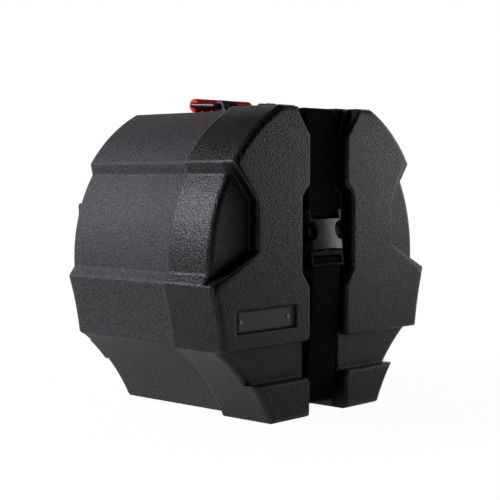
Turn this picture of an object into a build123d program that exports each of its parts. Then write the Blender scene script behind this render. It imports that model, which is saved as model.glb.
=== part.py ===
from build123d import *
from math import cos, pi, radians, sin, sqrt
import os

os.makedirs("parts", exist_ok=True)

# Moulded drum case that stands upright on its flat lower side. The drum axis runs along Y,
# the lid faces -Y, the base faces +Y. Every depth is measured back from the front face.

# Case outline, seen from the front. Widths and ledges are shares of the outer radius, out or up
# from the drum's axis, and what lies below the ledges is at shares of the axis height.
axis_height = 182
outer_radius = 197
top_half_width = 82.3
bottom_half_width_share = 0.4975
zone_recess = 10
upper_ledge_top_share = 0.5787
upper_ledge_bottom_share = 0.5102
lower_ledge_top_share = -0.0406
lower_ledge_bottom_share = -0.099
bulge_bottom_half_width_share = 0.9086
bulge_bottom_share = 0.489
flank_top_share = 0.467
bulge_bow = 2
flank_step = 8
flank_bulge = 7
edge_round = 3
inner_round = 1.2

# Depths of the two shells
body_depth = 249
lid_depth = 79
rear_pad_height = 11
wall = 4.2
shell_gap = 0.5
rim_seat_gap = 0.4
front_edge_bevel = 6
block_edge_bevel = 2.5
rear_edge_bevel = 5

# Groove that the strap lies in, over the top, down the back and along the bottom
strap_width = 50.8
strap_thickness = 1.6
strap_side_room = 2
layer_gap = 0.35
top_groove = 7
bottom_groove = 14
rear_groove = 7

# Raised blocks and channel on the front face
bumper_height = 13.5
channel_depth = 20
channel_half_width = 33.6
bay_half_width = 46.6
bay_corner_round = 9
channel_flare_half_width = 59
channel_flare_height = 33
bay_above_buckle = 53
bay_below_buckle = 37
bay_upper_shoulder = 11
bay_lower_shoulder = 16.4
cutout_half_width_share = 0.632
cutout_top_share = 0.364
cutout_bottom_share = 0.061
block_corner_round = 7
foot_top_share = 0.2555

# Nesting pads on the rear face
pad_clearance = 5
side_pad_width_share = 0.17
side_pad_below_cutout = 6.7
side_pad_above_cutout = 2
foot_pad_below_bulge = 7
foot_pad_above_foot = 6.5

# Skids that level the base with the lid
skid_inner = 42
skid_width = 20
skid_length = 140
skid_front_gap = 8

# Foam
foam_thickness = 6
foam_pad_thickness = 10
foam_gap = 0.3
foam_rim_gap = 2
lid_foam_clearance = 1

# Blank plate in its pocket on the left block
plate_width = 86
plate_height = 20
plate_thickness = 1
plate_centre_x_share = -0.5635
plate_centre_height_share = 0.665
pocket_width = 103
pocket_height = 27
pocket_offset = 1.5
pocket_depth = 3.4
pocket_round = 3
plate_round = 1.5
plate_rivet_radius = 1.8
plate_rivet_head_radius = 2.6
plate_rivet_head_height = 0.8
plate_rivet_inset = 3.6

# Side-release buckle, in its own frame: x across, y up along the strap, z out of the front
buckle_above_axis = 24
buckle_front_depth = 5.2
buckle_lean = 7
buckle_thickness = 10
female_bottom = -12
female_bottom_bow = 1.3
female_crown = 2.2
female_top = 24
female_bottom_half = 27
female_shoulder_half = 27.5
female_shoulder = 22
arm_top = 35
arm_top_half = 30.5
arm_inner_half = 26.2
cross_bar_bottom = 29.5
cross_bar_front = 4.6
cross_bar_thickness = 3.4
button_cut_radius = 11.5
button_cut_height = 10.5
button_cut_out = 27.2
cavity_half_width = 22.3
cavity_top = 21
cavity_skin = 1.4
male_top = -13.6
male_bottom = -32.5
male_bottom_bow = 1.2
male_half_width = 29.4
male_window_half = 26.1
male_window_top = -18.5
male_window_bottom = -28.5
male_bar_front = 0.9
male_bar_thickness = 2.8
male_centre_bar_top = -22
male_centre_bar_bottom = -27
male_centre_bar_front = 4.6
male_centre_bar_thickness = 3.4
tongue_half_width = 5
tongue_top = 14
male_round = 2
buckle_round = 1
prong_x = 20
prong_root = -12
prong_root_clearance = 1
prong_arm_half = 1.5
prong_arm_top = 17
prong_button_x = 20.8
prong_button_radius = 8
prong_button_height = 9
prong_face_gap = 0.6
strap_in_buckle = 3.3
strap_behind_bar = 9.2

# Strap on the front of the lid
strap_corner_lift = 4.1
strap_lower_corner_lift = 5.1
strap_front_rise = 2.5
strap_front_bend_depth = 50
strap_loop_room = 2
strap_tail = 25
strap_loop_radius = 2.6
strap_bend_radius = 5
strap_low_bend_radius = 8
strap_lid_overrun = 7
strap_base_start = 26
strap_rear_bend_radius = 6

# Rear strap anchor
anchor_width = 44
anchor_height = 14
anchor_thickness = 1.8
anchor_rivet_x = 15
anchor_rivet_radius = 2.2
anchor_rivet_head_radius = 4
anchor_rivet_head_height = 1.2
anchor_washer_radius = 6
anchor_washer_thickness = 1.2

# Spring handle on top of the base
handle_plate_half_width = 58
handle_plate_length = 64
handle_plate_thickness = 1.6
handle_plate_round = 7
pivot_depth = 131
pivot_behind_plate_front = 14
pivot_above_plate = 6.9
bail_reach = 44
grip_above_plate = 9.1
bail_radius = 3.2
bail_half_span = 54.5
bail_bend_radius = 5
bail_end_gap = 8
grip_radius = 8.3
grip_arm_gap = 0.8
grip_end_round = 3
ear_radius = 7
ear_bore_clearance = 0.08
ear_arm_gap = 1.3
ear_length = 12
ear_foot = 4
ear_slot_length = 7
ear_slot_width = 4
spring_wire_radius = 1
spring_half_turns = 11
spring_rod_gap = 1
spring_ear_gap = 0.4
spring_leg = 8
spring_end = 2
spring_pitch = 2.5
screw_radius = 2.5
screw_head_radius = 4.2
screw_head_height = 1.8
screw_x = 46.5
screw_ear_gap = 1.8
screw_spacing = 15.5
hole_clearance = 0.2
backing_offset = 2.5
backing_width = 16
backing_length = 34
backing_thickness = 1.6
nut_radius = 4.4
nut_height = 3.5
screw_end = 1
foam_notch_room = 3

# Worked-out places
front_y = -(body_depth + rear_pad_height) / 2
case_height = axis_height + sqrt(outer_radius**2 - top_half_width**2)
middle_radius = outer_radius - zone_recess
upper_ledge_top = axis_height + upper_ledge_top_share * outer_radius
upper_ledge_bottom = axis_height + upper_ledge_bottom_share * outer_radius
lower_ledge_top = axis_height + lower_ledge_top_share * outer_radius
lower_ledge_bottom = axis_height + lower_ledge_bottom_share * outer_radius
bulge_bottom = bulge_bottom_share * axis_height
bulge_bottom_half_width = bulge_bottom_half_width_share * outer_radius
flank_top_height = flank_top_share * axis_height
flank_top_half_width = bulge_bottom_half_width - flank_step
bottom_half_width = bottom_half_width_share * outer_radius
cutout_half_width = cutout_half_width_share * outer_radius
cutout_top = axis_height + cutout_top_share * outer_radius
cutout_bottom = axis_height + cutout_bottom_share * outer_radius
foot_top = foot_top_share * axis_height
channel_flare_start = case_height - channel_flare_height
buckle_height = axis_height + buckle_above_axis
bay_top = buckle_height + bay_above_buckle
bay_top_shoulder = bay_top + bay_upper_shoulder
bay_bottom = buckle_height - bay_below_buckle
bay_bottom_shoulder = bay_bottom - bay_lower_shoulder
side_pad_inner = cutout_half_width + pad_clearance
side_pad_outer = side_pad_inner + side_pad_width_share * outer_radius
side_pad_top = cutout_top - side_pad_below_cutout
side_pad_bottom = cutout_bottom + side_pad_above_cutout
foot_pad_top = bulge_bottom - foot_pad_below_bulge
foot_pad_bottom = foot_top + foot_pad_above_foot
base_inset = wall + shell_gap
lining_inset = base_inset + wall
lid_roof_depth = channel_depth + wall
base_rim_depth = lid_roof_depth + rim_seat_gap
groove_half_width = strap_width / 2 + strap_side_room
base_top = case_height - base_inset
base_strap_top = case_height - top_groove + layer_gap + strap_thickness / 2
base_strap_bottom = bottom_groove - layer_gap - strap_thickness / 2
rear_strap_depth = body_depth - rear_groove + layer_gap + strap_thickness / 2
lid_strap_top = base_strap_top + layer_gap + strap_thickness
lid_strap_high = lid_strap_top + strap_front_rise
strap_corner_depth = channel_depth - strap_corner_lift
strap_lower_corner_depth = channel_depth - strap_lower_corner_lift
lid_strap_bottom = base_strap_bottom - layer_gap - strap_thickness
anchor_front = rear_strap_depth + strap_thickness / 2
anchor_rivet_spots = [(-anchor_rivet_x, axis_height), (anchor_rivet_x, axis_height)]
rear_groove_inside = body_depth - rear_groove - wall
foam_start = lid_roof_depth + foam_pad_thickness + foam_rim_gap
foam_end = rear_groove_inside - foam_gap - foam_pad_thickness
skid_x = skid_inner + skid_width / 2
skid_start = lid_depth + skid_front_gap
plate_centre_x = plate_centre_x_share * outer_radius
plate_centre_height = plate_centre_height_share * axis_height
plate_rivet_x = plate_width / 2 - plate_rivet_inset
plate_rivet_spots = [
    (plate_centre_x - plate_rivet_x, plate_centre_height),
    (plate_centre_x + plate_rivet_x, plate_centre_height),
]
prong_front = cavity_skin + prong_face_gap
prong_thickness = buckle_thickness - 2 * prong_front
male_frame_end = male_bottom + male_bottom_bow
handle_plate_top = base_top + handle_plate_thickness
pivot_height = handle_plate_top + pivot_above_plate
grip_height = handle_plate_top + grip_above_plate
grip_depth = pivot_depth + bail_reach
grip_half_length = bail_half_span - bail_radius - grip_arm_gap
arm_length = sqrt(bail_reach**2 + (grip_height - pivot_height) ** 2)
arm_rise = (grip_height - pivot_height) / arm_length
arm_run = bail_reach / arm_length
ear_outer_x = bail_half_span - bail_radius - ear_arm_gap
handle_plate_front = pivot_depth - pivot_behind_plate_front
screw_front_depth = pivot_depth + ear_radius + screw_ear_gap + screw_head_radius
screw_rear_depth = screw_front_depth + screw_spacing
bail_plane = Plane(
    origin=(0, front_y + pivot_depth, pivot_height), x_dir=(1, 0, 0), z_dir=(0, -arm_rise, arm_run)
)
spring_radius = bail_radius + spring_rod_gap + spring_wire_radius
spring_turn_rise = spring_pitch / 2
spring_start_x = (
    ear_outer_x - ear_length - spring_ear_gap - spring_wire_radius - spring_half_turns * spring_turn_rise
)
backing_bottom = base_top - wall - backing_thickness
backing_depth = (screw_front_depth + screw_rear_depth) / 2
backing_x = screw_x + backing_offset
screw_spots = [
    (-screw_x, screw_front_depth),
    (-screw_x, screw_rear_depth),
    (screw_x, screw_front_depth),
    (screw_x, screw_rear_depth),
]
cut_overrun = 2 * outer_radius


def upright(depth):
    """Plane a given depth behind the front face, looking out of the front."""
    return Plane(origin=(0, front_y + depth, 0), x_dir=(1, 0, 0), z_dir=(0, -1, 0))


def level(height, depth):
    """Level plane at a height, with its origin a given depth behind the front face."""
    return Plane(origin=(0, front_y + depth, height), x_dir=(1, 0, 0), z_dir=(0, 0, 1))


def side(x):
    """Plane square to X whose own x runs back in depth and whose y runs up."""
    return Plane(origin=(x, front_y, 0), x_dir=(0, 1, 0), z_dir=(1, 0, 0))


def rim_x(radius, height):
    """Half width of a circle about the drum axis at a height."""
    return sqrt(radius**2 - (height - axis_height) ** 2)


def rim_arc(start, radius, bottom):
    """Stretch of a circle about the drum axis, from a point on it down to a height."""
    middle = (start.Y + bottom) / 2
    return ThreePointArc(start, (rim_x(radius, middle), middle), (rim_x(radius, bottom), bottom))


def shell_outline(inset, rounding=edge_round):
    """Stepped cross-section of the case, a distance inside the outer face of the lid."""
    with BuildSketch() as outline:
        with BuildLine():
            top = Polyline(
                (0, case_height - top_groove),
                (groove_half_width, case_height - top_groove),
                (groove_half_width + top_groove, case_height),
                (top_half_width, case_height),
            )
            shoulder = rim_arc(top @ 1, outer_radius, upper_ledge_top)
            upper_ledge = Line(shoulder @ 1, (rim_x(middle_radius, upper_ledge_bottom), upper_ledge_bottom))
            waist = rim_arc(upper_ledge @ 1, middle_radius, lower_ledge_top)
            lower_ledge = Line(waist @ 1, (rim_x(outer_radius, lower_ledge_bottom), lower_ledge_bottom))
            bulge = SagittaArc(lower_ledge @ 1, (bulge_bottom_half_width, bulge_bottom), -bulge_bow)
            step = Line(bulge @ 1, (flank_top_half_width, flank_top_height))
            flank = SagittaArc(step @ 1, (bottom_half_width, 0), -flank_bulge)
            Polyline(
                flank @ 1,
                (channel_half_width, 0),
                (groove_half_width, bottom_groove),
                (0, bottom_groove),
                (0, case_height - top_groove),
            )
        make_face()
        mirror(about=Plane.YZ)
        if inset > 0:
            offset(amount=-inset, kind=Kind.INTERSECTION)
        if rounding > 0:
            corners = [v for v in outline.vertices() if abs(v.X) > groove_half_width / 2]
            fillet(corners, radius=rounding)
    return outline.sketch


def channel_outline(flare_half_width):
    """Strap channel of the front face, with the bay round the buckle and the flare above."""
    with BuildSketch() as channel:
        with BuildLine():
            Polyline(
                (0, -cut_overrun),
                (channel_half_width, -cut_overrun),
                (channel_half_width, bay_bottom_shoulder),
                (bay_half_width, bay_bottom),
                (bay_half_width, bay_top),
                (channel_half_width, bay_top_shoulder),
                (channel_half_width, channel_flare_start),
                (flare_half_width, case_height),
                (flare_half_width, case_height + cut_overrun),
                (0, case_height + cut_overrun),
                close=True,
            )
        make_face()
        mirror(about=Plane.YZ)
        shoulders = channel.vertices().filter_by_position(Axis.Y, foot_top, case_height - top_groove)
        fillet(shoulders, radius=bay_corner_round)
    return channel.sketch


def front_blocks(inset=0):
    """The two tall blocks and the two feet that stand out of the front face."""
    with BuildSketch() as blocks:
        with BuildLine():
            Polyline(
                (0, case_height + cut_overrun),
                (cut_overrun, case_height + cut_overrun),
                (cut_overrun, upper_ledge_top),
                (rim_x(outer_radius, upper_ledge_top), upper_ledge_top),
                (cutout_half_width, cutout_top),
                (cutout_half_width, cutout_bottom),
                (rim_x(outer_radius, lower_ledge_bottom), lower_ledge_bottom),
                (cut_overrun, lower_ledge_bottom),
                (cut_overrun, bulge_bottom),
                (0, bulge_bottom),
                close=True,
            )
        make_face()
        with BuildLine():
            Polyline(
                (0, -cut_overrun),
                (cut_overrun, -cut_overrun),
                (cut_overrun, foot_top),
                (0, foot_top),
                close=True,
            )
        make_face()
        mirror(about=Plane.YZ)
        add(shell_outline(0), mode=Mode.INTERSECT)
        add(channel_outline(channel_flare_half_width), mode=Mode.SUBTRACT)
        corner_points = [
            (cutout_half_width, cutout_top),
            (cutout_half_width, cutout_bottom),
            (channel_half_width, bulge_bottom),
            (channel_half_width, foot_top),
        ]
        corners = [
            v for v in blocks.vertices()
            if any(abs(abs(v.X) - x) + abs(v.Y - z) < edge_round / 2 for x, z in corner_points)
        ]
        fillet(corners, radius=block_corner_round)
        if inset > 0:
            offset(amount=-inset, kind=Kind.INTERSECTION)
    return blocks.sketch


def rounded_end(face_depth, inward, bevel, inset):
    """Slice of a shell next to its end face, where the outline draws in to round the edge."""
    turn = 1 - sqrt(0.5)
    with BuildPart() as end:
        for near, far in ((0, turn), (turn, 1)):
            with BuildSketch(upright(face_depth + inward * bevel * near)):
                add(shell_outline(inset + (bevel * turn if near else bevel)))
            with BuildSketch(upright(face_depth + inward * bevel * far)):
                add(shell_outline(inset + (0 if far == 1 else bevel * turn)))
            loft(ruled=True)
    return end.part


def slice_order(face):
    """Sorting key that pairs each raised block with its own bevelled front."""
    return (face.center().X, face.center().Y)


def raised_blocks():
    """Blocks with a small bevel all round, and a larger one where they meet the case's rim."""
    backs = front_blocks().faces().sort_by(slice_order)
    fronts = front_blocks(block_edge_bevel).faces().sort_by(slice_order)
    with BuildPart() as blocks:
        for back, front in zip(backs, fronts):
            with BuildSketch(upright(block_edge_bevel)):
                add(back)
            with BuildSketch(upright(0)):
                add(front)
            loft(ruled=True)
        with BuildSketch(upright(bumper_height + front_edge_bevel)):
            add(front_blocks())
        extrude(amount=bumper_height + front_edge_bevel - block_edge_bevel)
        with BuildPart(mode=Mode.PRIVATE) as rounded_case:
            with BuildSketch(upright(channel_depth)):
                add(shell_outline(0))
            extrude(amount=channel_depth - front_edge_bevel)
            add(rounded_end(0, 1, front_edge_bevel, 0))
        add(rounded_case.part, mode=Mode.INTERSECT)
    return blocks.part


def rear_pads(inset=0):
    """Pads on the rear face that nest between the raised blocks of another case."""
    with BuildSketch() as pads:
        with BuildLine():
            Polyline(
                (side_pad_inner, side_pad_bottom),
                (side_pad_outer, side_pad_bottom),
                (side_pad_outer, side_pad_top),
                (side_pad_inner, side_pad_top),
                close=True,
            )
        make_face()
        with BuildLine():
            Polyline(
                (channel_half_width + pad_clearance, foot_pad_bottom),
                (cut_overrun, foot_pad_bottom),
                (cut_overrun, foot_pad_top),
                (channel_half_width + pad_clearance, foot_pad_top),
                close=True,
            )
        make_face()
        mirror(about=Plane.YZ)
        add(shell_outline(base_inset + pad_clearance), mode=Mode.INTERSECT)
        fillet(pads.vertices(), radius=edge_round)
        if inset > 0:
            offset(amount=-inset, kind=Kind.INTERSECTION)
    return pads.sketch


def webbing(points, radii):
    """Band of strap that follows a centre line of depths and heights."""
    with BuildPart() as band:
        with BuildSketch(side(0)):
            with BuildLine():
                FilletPolyline(*points, radius=radii)
            trace(line_width=strap_thickness)
        extrude(amount=strap_width / 2, both=True)
    return band.part


def in_buckle(up, out):
    """Depth and height of a point given along and out of the leaning buckle."""
    lean = radians(buckle_lean)
    return (
        buckle_front_depth + sin(lean) * up - cos(lean) * out,
        buckle_height + cos(lean) * up + sin(lean) * out,
    )


def buckle_plane(out):
    """Plane of the buckle's face, moved out of the front by a distance."""
    lean = radians(buckle_lean)
    face = Plane(
        origin=(0, front_y + buckle_front_depth, buckle_height),
        x_dir=(1, 0, 0),
        z_dir=(0, -cos(lean), sin(lean)),
    )
    return face.offset(out)


def across_buckle_plane():
    """Plane across the buckle, whose own y runs in from the front."""
    lean = radians(buckle_lean)
    return Plane(
        origin=(0, front_y + buckle_front_depth, buckle_height),
        x_dir=(1, 0, 0),
        z_dir=(0, sin(lean), cos(lean)),
    )


def biarc(start, start_tangent, end, end_tangent):
    """Two arcs that join smoothly and meet both points along their tangents."""
    chord = end - start
    tangents = start_tangent + end_tangent
    spread = 2 * (1 - start_tangent.dot(end_tangent))
    along = chord.dot(tangents)
    reach = (sqrt(along**2 + spread * chord.dot(chord)) - along) / spread
    start_control = start + start_tangent * reach
    end_control = end - end_tangent * reach
    joint = (start_control + end_control) * (1 / 2)
    TangentArc(start, joint, tangent=start_tangent)
    TangentArc(joint, end, tangent=end_control - start_control)


def least_gap(path, near, wire_diameter):
    """Least gap between stretches of a wound wire that lie further apart than near along it."""
    steps = int(path.length / (wire_diameter / 4))
    points = [path @ (step / steps) for step in range(steps + 1)]
    skip = int(steps * near / path.length)
    return min(
        (points[i] - points[j]).length - wire_diameter
        for i in range(len(points))
        for j in range(i + skip, len(points))
    )


# Lid: an open shell whose raised blocks are hollow behind
with BuildPart() as lid_shell:
    with BuildSketch(upright(lid_depth)):
        add(shell_outline(0))
    extrude(amount=lid_depth - bumper_height - front_edge_bevel)
    add(rounded_end(bumper_height, 1, front_edge_bevel, 0))
    add(raised_blocks())
    with BuildSketch(upright(channel_depth)):
        add(channel_outline((channel_flare_half_width + channel_half_width) / 2))
    extrude(amount=channel_depth - bumper_height, mode=Mode.SUBTRACT)
    with BuildSketch(upright(lid_depth)):
        add(shell_outline(wall, inner_round))
    extrude(amount=lid_depth - lid_roof_depth, mode=Mode.SUBTRACT)
    with BuildSketch(upright(lid_roof_depth)):
        add(front_blocks(wall + edge_round))
    extrude(amount=channel_depth, mode=Mode.SUBTRACT)
    with BuildSketch(upright(0)):
        with Locations((plate_centre_x + pocket_offset, plate_centre_height)):
            RectangleRounded(pocket_width, pocket_height, pocket_round)
    extrude(amount=-pocket_depth, mode=Mode.SUBTRACT)
    with BuildSketch(upright(0)):
        with Locations(*plate_rivet_spots):
            Circle(plate_rivet_radius + hole_clearance)
    extrude(amount=-channel_depth, mode=Mode.SUBTRACT)
lid_shell.part.label = "lid_shell"
export_step(lid_shell.part, "parts/lid_shell.step")

# Base: a shell that fits inside the lid's rim, with a strap groove down its rear wall
with BuildPart() as base_shell:
    with BuildSketch(upright(body_depth - rear_edge_bevel)):
        add(shell_outline(base_inset))
    extrude(amount=body_depth - rear_edge_bevel - base_rim_depth)
    add(rounded_end(body_depth, -1, rear_edge_bevel, base_inset))
    with BuildSketch(upright(body_depth + rear_pad_height)):
        add(rear_pads())
    extrude(amount=rear_pad_height + rear_edge_bevel)
    with BuildSketch(upright(body_depth)):
        Rectangle(2 * groove_half_width + top_groove, cut_overrun * 2)
    extrude(amount=rear_groove, mode=Mode.SUBTRACT)
    with BuildSketch(level(0, skid_start)):
        with Locations(*((x, skid_length / 2) for x in (-skid_x, skid_x))):
            Rectangle(skid_width, skid_length)
    extrude(amount=base_inset + wall / 2)
    with BuildSketch(upright(rear_groove_inside)):
        add(shell_outline(lining_inset, inner_round))
    extrude(amount=rear_groove_inside - base_rim_depth, mode=Mode.SUBTRACT)
    with BuildSketch(upright(body_depth - wall)):
        add(shell_outline(lining_inset + rear_edge_bevel, inner_round))
        Rectangle(2 * (groove_half_width + wall) + top_groove, cut_overrun * 2, mode=Mode.SUBTRACT)
    extrude(amount=rear_groove, mode=Mode.SUBTRACT)
    with BuildSketch(upright(body_depth + rear_pad_height - wall)):
        add(rear_pads(wall))
    extrude(amount=rear_pad_height + rear_groove, mode=Mode.SUBTRACT)
    with BuildSketch(level(base_top, 0)):
        with Locations(*screw_spots):
            Circle(screw_radius + hole_clearance)
    extrude(amount=-2 * wall, mode=Mode.SUBTRACT)
    with BuildSketch(upright(body_depth)):
        with Locations(*anchor_rivet_spots):
            Circle(anchor_rivet_radius + hole_clearance)
    extrude(amount=rear_groove + 2 * wall, mode=Mode.SUBTRACT)
base_shell.part.label = "base_shell"
export_step(base_shell.part, "parts/base_shell.step")

# Foam strip round the inside of the base, notched for the handle's backing plates
with BuildPart() as base_foam_ring:
    with BuildSketch(upright(foam_end - foam_gap)):
        add(shell_outline(lining_inset + foam_gap, inner_round))
        add(shell_outline(lining_inset + foam_gap + foam_thickness, inner_round), mode=Mode.SUBTRACT)
    extrude(amount=foam_end - foam_gap - foam_start)
    with BuildSketch(level(base_top, backing_depth)):
        with Locations((-backing_x, 0), (backing_x, 0)):
            Rectangle(backing_width + 2 * foam_notch_room, backing_length + 2 * foam_notch_room)
    extrude(amount=-wall - 2 * foam_thickness, mode=Mode.SUBTRACT)
base_foam_ring.part.label = "base_foam_ring"
export_step(base_foam_ring.part, "parts/base_foam_ring.step")

# Foam disc on the base's end wall, cut out round the strap anchor's washers
with BuildPart() as base_foam_pad:
    with BuildSketch(upright(foam_end + foam_pad_thickness)):
        add(shell_outline(lining_inset + foam_gap, inner_round))
        with Locations(*anchor_rivet_spots):
            Circle(anchor_washer_radius + foam_gap, mode=Mode.SUBTRACT)
    extrude(amount=foam_pad_thickness)
base_foam_pad.part.label = "base_foam_pad"
export_step(base_foam_pad.part, "parts/base_foam_pad.step")

# Foam disc on the inner face of the lid
with BuildPart() as lid_foam_pad:
    with BuildSketch(upright(lid_roof_depth + foam_pad_thickness)):
        add(shell_outline(lining_inset + lid_foam_clearance, inner_round))
    extrude(amount=foam_pad_thickness)
lid_foam_pad.part.label = "lid_foam_pad"
export_step(lid_foam_pad.part, "parts/lid_foam_pad.step")

# Strap on the base: under the lid's strap, back over the top, down the rear and forward again
with BuildPart() as strap_rear_loop:
    add(
        webbing(
            [
                (strap_base_start, base_strap_top),
                (rear_strap_depth, base_strap_top),
                (rear_strap_depth, base_strap_bottom),
                (strap_base_start, base_strap_bottom),
            ],
            strap_rear_bend_radius,
        )
    )
    with BuildSketch(upright(body_depth)):
        with Locations(*anchor_rivet_spots):
            Circle(anchor_rivet_radius + hole_clearance)
    extrude(amount=rear_groove + wall, mode=Mode.SUBTRACT)
strap_rear_loop.part.label = "strap_rear_loop"
export_step(strap_rear_loop.part, "parts/strap_rear_loop.step")

# Strap from the buckle's cross bar up the front and over the top of the lid
with BuildPart() as strap_upper_front:
    add(
        webbing(
            [
                (lid_depth + strap_lid_overrun, lid_strap_top),
                (strap_front_bend_depth, lid_strap_top),
                (strap_corner_depth, lid_strap_high),
                in_buckle(cross_bar_bottom - strap_loop_room - strap_thickness / 2, -strap_in_buckle),
                in_buckle(cross_bar_bottom - strap_loop_room - strap_thickness / 2, -strap_behind_bar),
                in_buckle(arm_top + strap_loop_room, -strap_behind_bar),
                in_buckle(arm_top + strap_tail, -strap_in_buckle - strap_thickness - layer_gap),
            ],
            [
                strap_bend_radius,
                strap_bend_radius,
                strap_loop_radius,
                strap_loop_radius,
                strap_bend_radius,
            ],
        )
    )
strap_upper_front.part.label = "strap_upper_front"
export_step(strap_upper_front.part, "parts/strap_upper_front.step")

# Strap from the buckle's slide bar down the front and under the lid
with BuildPart() as strap_lower_front:
    add(
        webbing(
            [
                in_buckle(male_bottom + strap_loop_room, -strap_behind_bar),
                in_buckle(male_centre_bar_top + strap_loop_room, -strap_behind_bar),
                in_buckle(male_centre_bar_top + strap_loop_room, -strap_in_buckle),
                in_buckle(male_bottom - strap_thickness / 2, -strap_in_buckle),
                (strap_lower_corner_depth, lid_strap_bottom),
                (lid_depth + strap_lid_overrun, lid_strap_bottom),
            ],
            [strap_loop_radius, strap_loop_radius, strap_bend_radius, strap_low_bend_radius],
        )
    )
strap_lower_front.part.label = "strap_lower_front"
export_step(strap_lower_front.part, "parts/strap_lower_front.step")

# Plate, rivets and washers that hold the strap to the rear wall
with BuildPart() as strap_anchor_plate:
    with BuildSketch(upright(anchor_front)):
        with Locations((0, axis_height)):
            RectangleRounded(anchor_width, anchor_height, edge_round)
        with Locations(*anchor_rivet_spots):
            Circle(anchor_rivet_radius + hole_clearance, mode=Mode.SUBTRACT)
    extrude(amount=-anchor_thickness)
strap_anchor_plate.part.label = "strap_anchor_plate"
export_step(strap_anchor_plate.part, "parts/strap_anchor_plate.step")

with BuildPart() as strap_anchor_rivets:
    with BuildSketch(upright(anchor_front + anchor_thickness)):
        with Locations(*anchor_rivet_spots):
            Circle(anchor_rivet_head_radius)
    extrude(amount=-anchor_rivet_head_height)
    with BuildSketch(upright(anchor_front + anchor_thickness)):
        with Locations(*anchor_rivet_spots):
            Circle(anchor_rivet_radius)
    extrude(amount=anchor_front + anchor_thickness - rear_groove_inside + anchor_washer_thickness)
strap_anchor_rivets.part.label = "strap_anchor_rivets"
export_step(strap_anchor_rivets.part, "parts/strap_anchor_rivets.step")

with BuildPart() as strap_anchor_washers:
    with BuildSketch(upright(rear_groove_inside)):
        with Locations(*anchor_rivet_spots):
            Circle(anchor_washer_radius)
            Circle(anchor_rivet_radius + hole_clearance, mode=Mode.SUBTRACT)
    extrude(amount=anchor_washer_thickness)
strap_anchor_washers.part.label = "strap_anchor_washers"
export_step(strap_anchor_washers.part, "parts/strap_anchor_washers.step")

# Female half of the buckle: hollow body, two arms and the bar that the strap is sewn round
with BuildPart() as buckle_female:
    with BuildSketch(buckle_plane(0)) as body:
        with BuildLine():
            Polyline(
                (female_bottom_half, female_bottom),
                (female_shoulder_half, female_shoulder),
                (arm_top_half, arm_top),
                (arm_inner_half, arm_top),
                (arm_inner_half, female_top),
                (-arm_inner_half, female_top),
                (-arm_inner_half, arm_top),
                (-arm_top_half, arm_top),
                (-female_shoulder_half, female_shoulder),
                (-female_bottom_half, female_bottom),
            )
            SagittaArc(
                (-female_bottom_half, female_bottom),
                (female_bottom_half, female_bottom),
                female_bottom_bow,
            )
        make_face()
        fillet(body.vertices().filter_by_position(Axis.Y, female_top, arm_top), radius=buckle_round)
        with Locations((-button_cut_out, button_cut_height), (button_cut_out, button_cut_height)):
            Circle(button_cut_radius, mode=Mode.SUBTRACT)
    extrude(amount=female_crown)
    extrude(body.sketch, amount=-buckle_thickness)
    with BuildSketch(across_buckle_plane()):
        with BuildLine():
            Polyline(
                (arm_top_half, 0),
                (arm_top_half, buckle_thickness),
                (-arm_top_half, buckle_thickness),
                (-arm_top_half, 0),
            )
            SagittaArc((-arm_top_half, 0), (arm_top_half, 0), female_crown)
        make_face()
    extrude(amount=cut_overrun, both=True, mode=Mode.INTERSECT)
    with BuildSketch(buckle_plane(-cavity_skin)):
        with Locations((0, (female_bottom + cavity_top) / 2)):
            Rectangle(2 * cavity_half_width, cavity_top - female_bottom)
    extrude(amount=2 * cavity_skin - buckle_thickness, mode=Mode.SUBTRACT)
    with BuildSketch(buckle_plane(-cross_bar_front)):
        with Locations((0, (cross_bar_bottom + arm_top) / 2)):
            Rectangle(2 * arm_inner_half + cross_bar_thickness, arm_top - cross_bar_bottom)
    extrude(amount=-cross_bar_thickness)
buckle_female.part.label = "buckle_female"
export_step(buckle_female.part, "parts/buckle_female.step")

# Male half of the buckle: frame with the slide bars, and the tongue that guides it
with BuildPart() as buckle_male:
    with BuildSketch(buckle_plane(0)):
        with Locations((0, (male_top + male_frame_end) / 2)):
            RectangleRounded(2 * male_half_width, male_top - male_frame_end, male_round)
        with Locations((0, male_window_top + (male_bottom - male_window_top))):
            Rectangle(2 * male_window_half, 2 * (male_window_top - male_bottom), mode=Mode.SUBTRACT)
    extrude(amount=-buckle_thickness)
    with BuildSketch(buckle_plane(male_bar_front)) as bar:
        with BuildLine():
            Polyline(
                (male_half_width, male_frame_end),
                (male_half_width, male_window_bottom),
                (-male_half_width, male_window_bottom),
                (-male_half_width, male_frame_end),
            )
            SagittaArc(
                (-male_half_width, male_frame_end), (male_half_width, male_frame_end), male_bottom_bow
            )
        make_face()
        fillet(bar.vertices(), radius=buckle_round)
    extrude(amount=-male_bar_thickness)
    with BuildSketch(buckle_plane(-male_centre_bar_front)):
        with Locations((0, (male_centre_bar_top + male_centre_bar_bottom) / 2)):
            Rectangle(
                2 * male_window_half + male_centre_bar_thickness,
                male_centre_bar_top - male_centre_bar_bottom,
            )
    extrude(amount=-male_centre_bar_thickness)
    with BuildSketch(buckle_plane(-prong_front)) as tongue:
        with Locations((0, (male_top + tongue_top) / 2)):
            Rectangle(2 * tongue_half_width, tongue_top - male_top + 2 * male_round)
        fillet(tongue.vertices().group_by(Axis.Y)[-1], radius=male_round)
    extrude(amount=-prong_thickness)
buckle_male.part.label = "buckle_male"
export_step(buckle_male.part, "parts/buckle_male.step")

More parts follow.
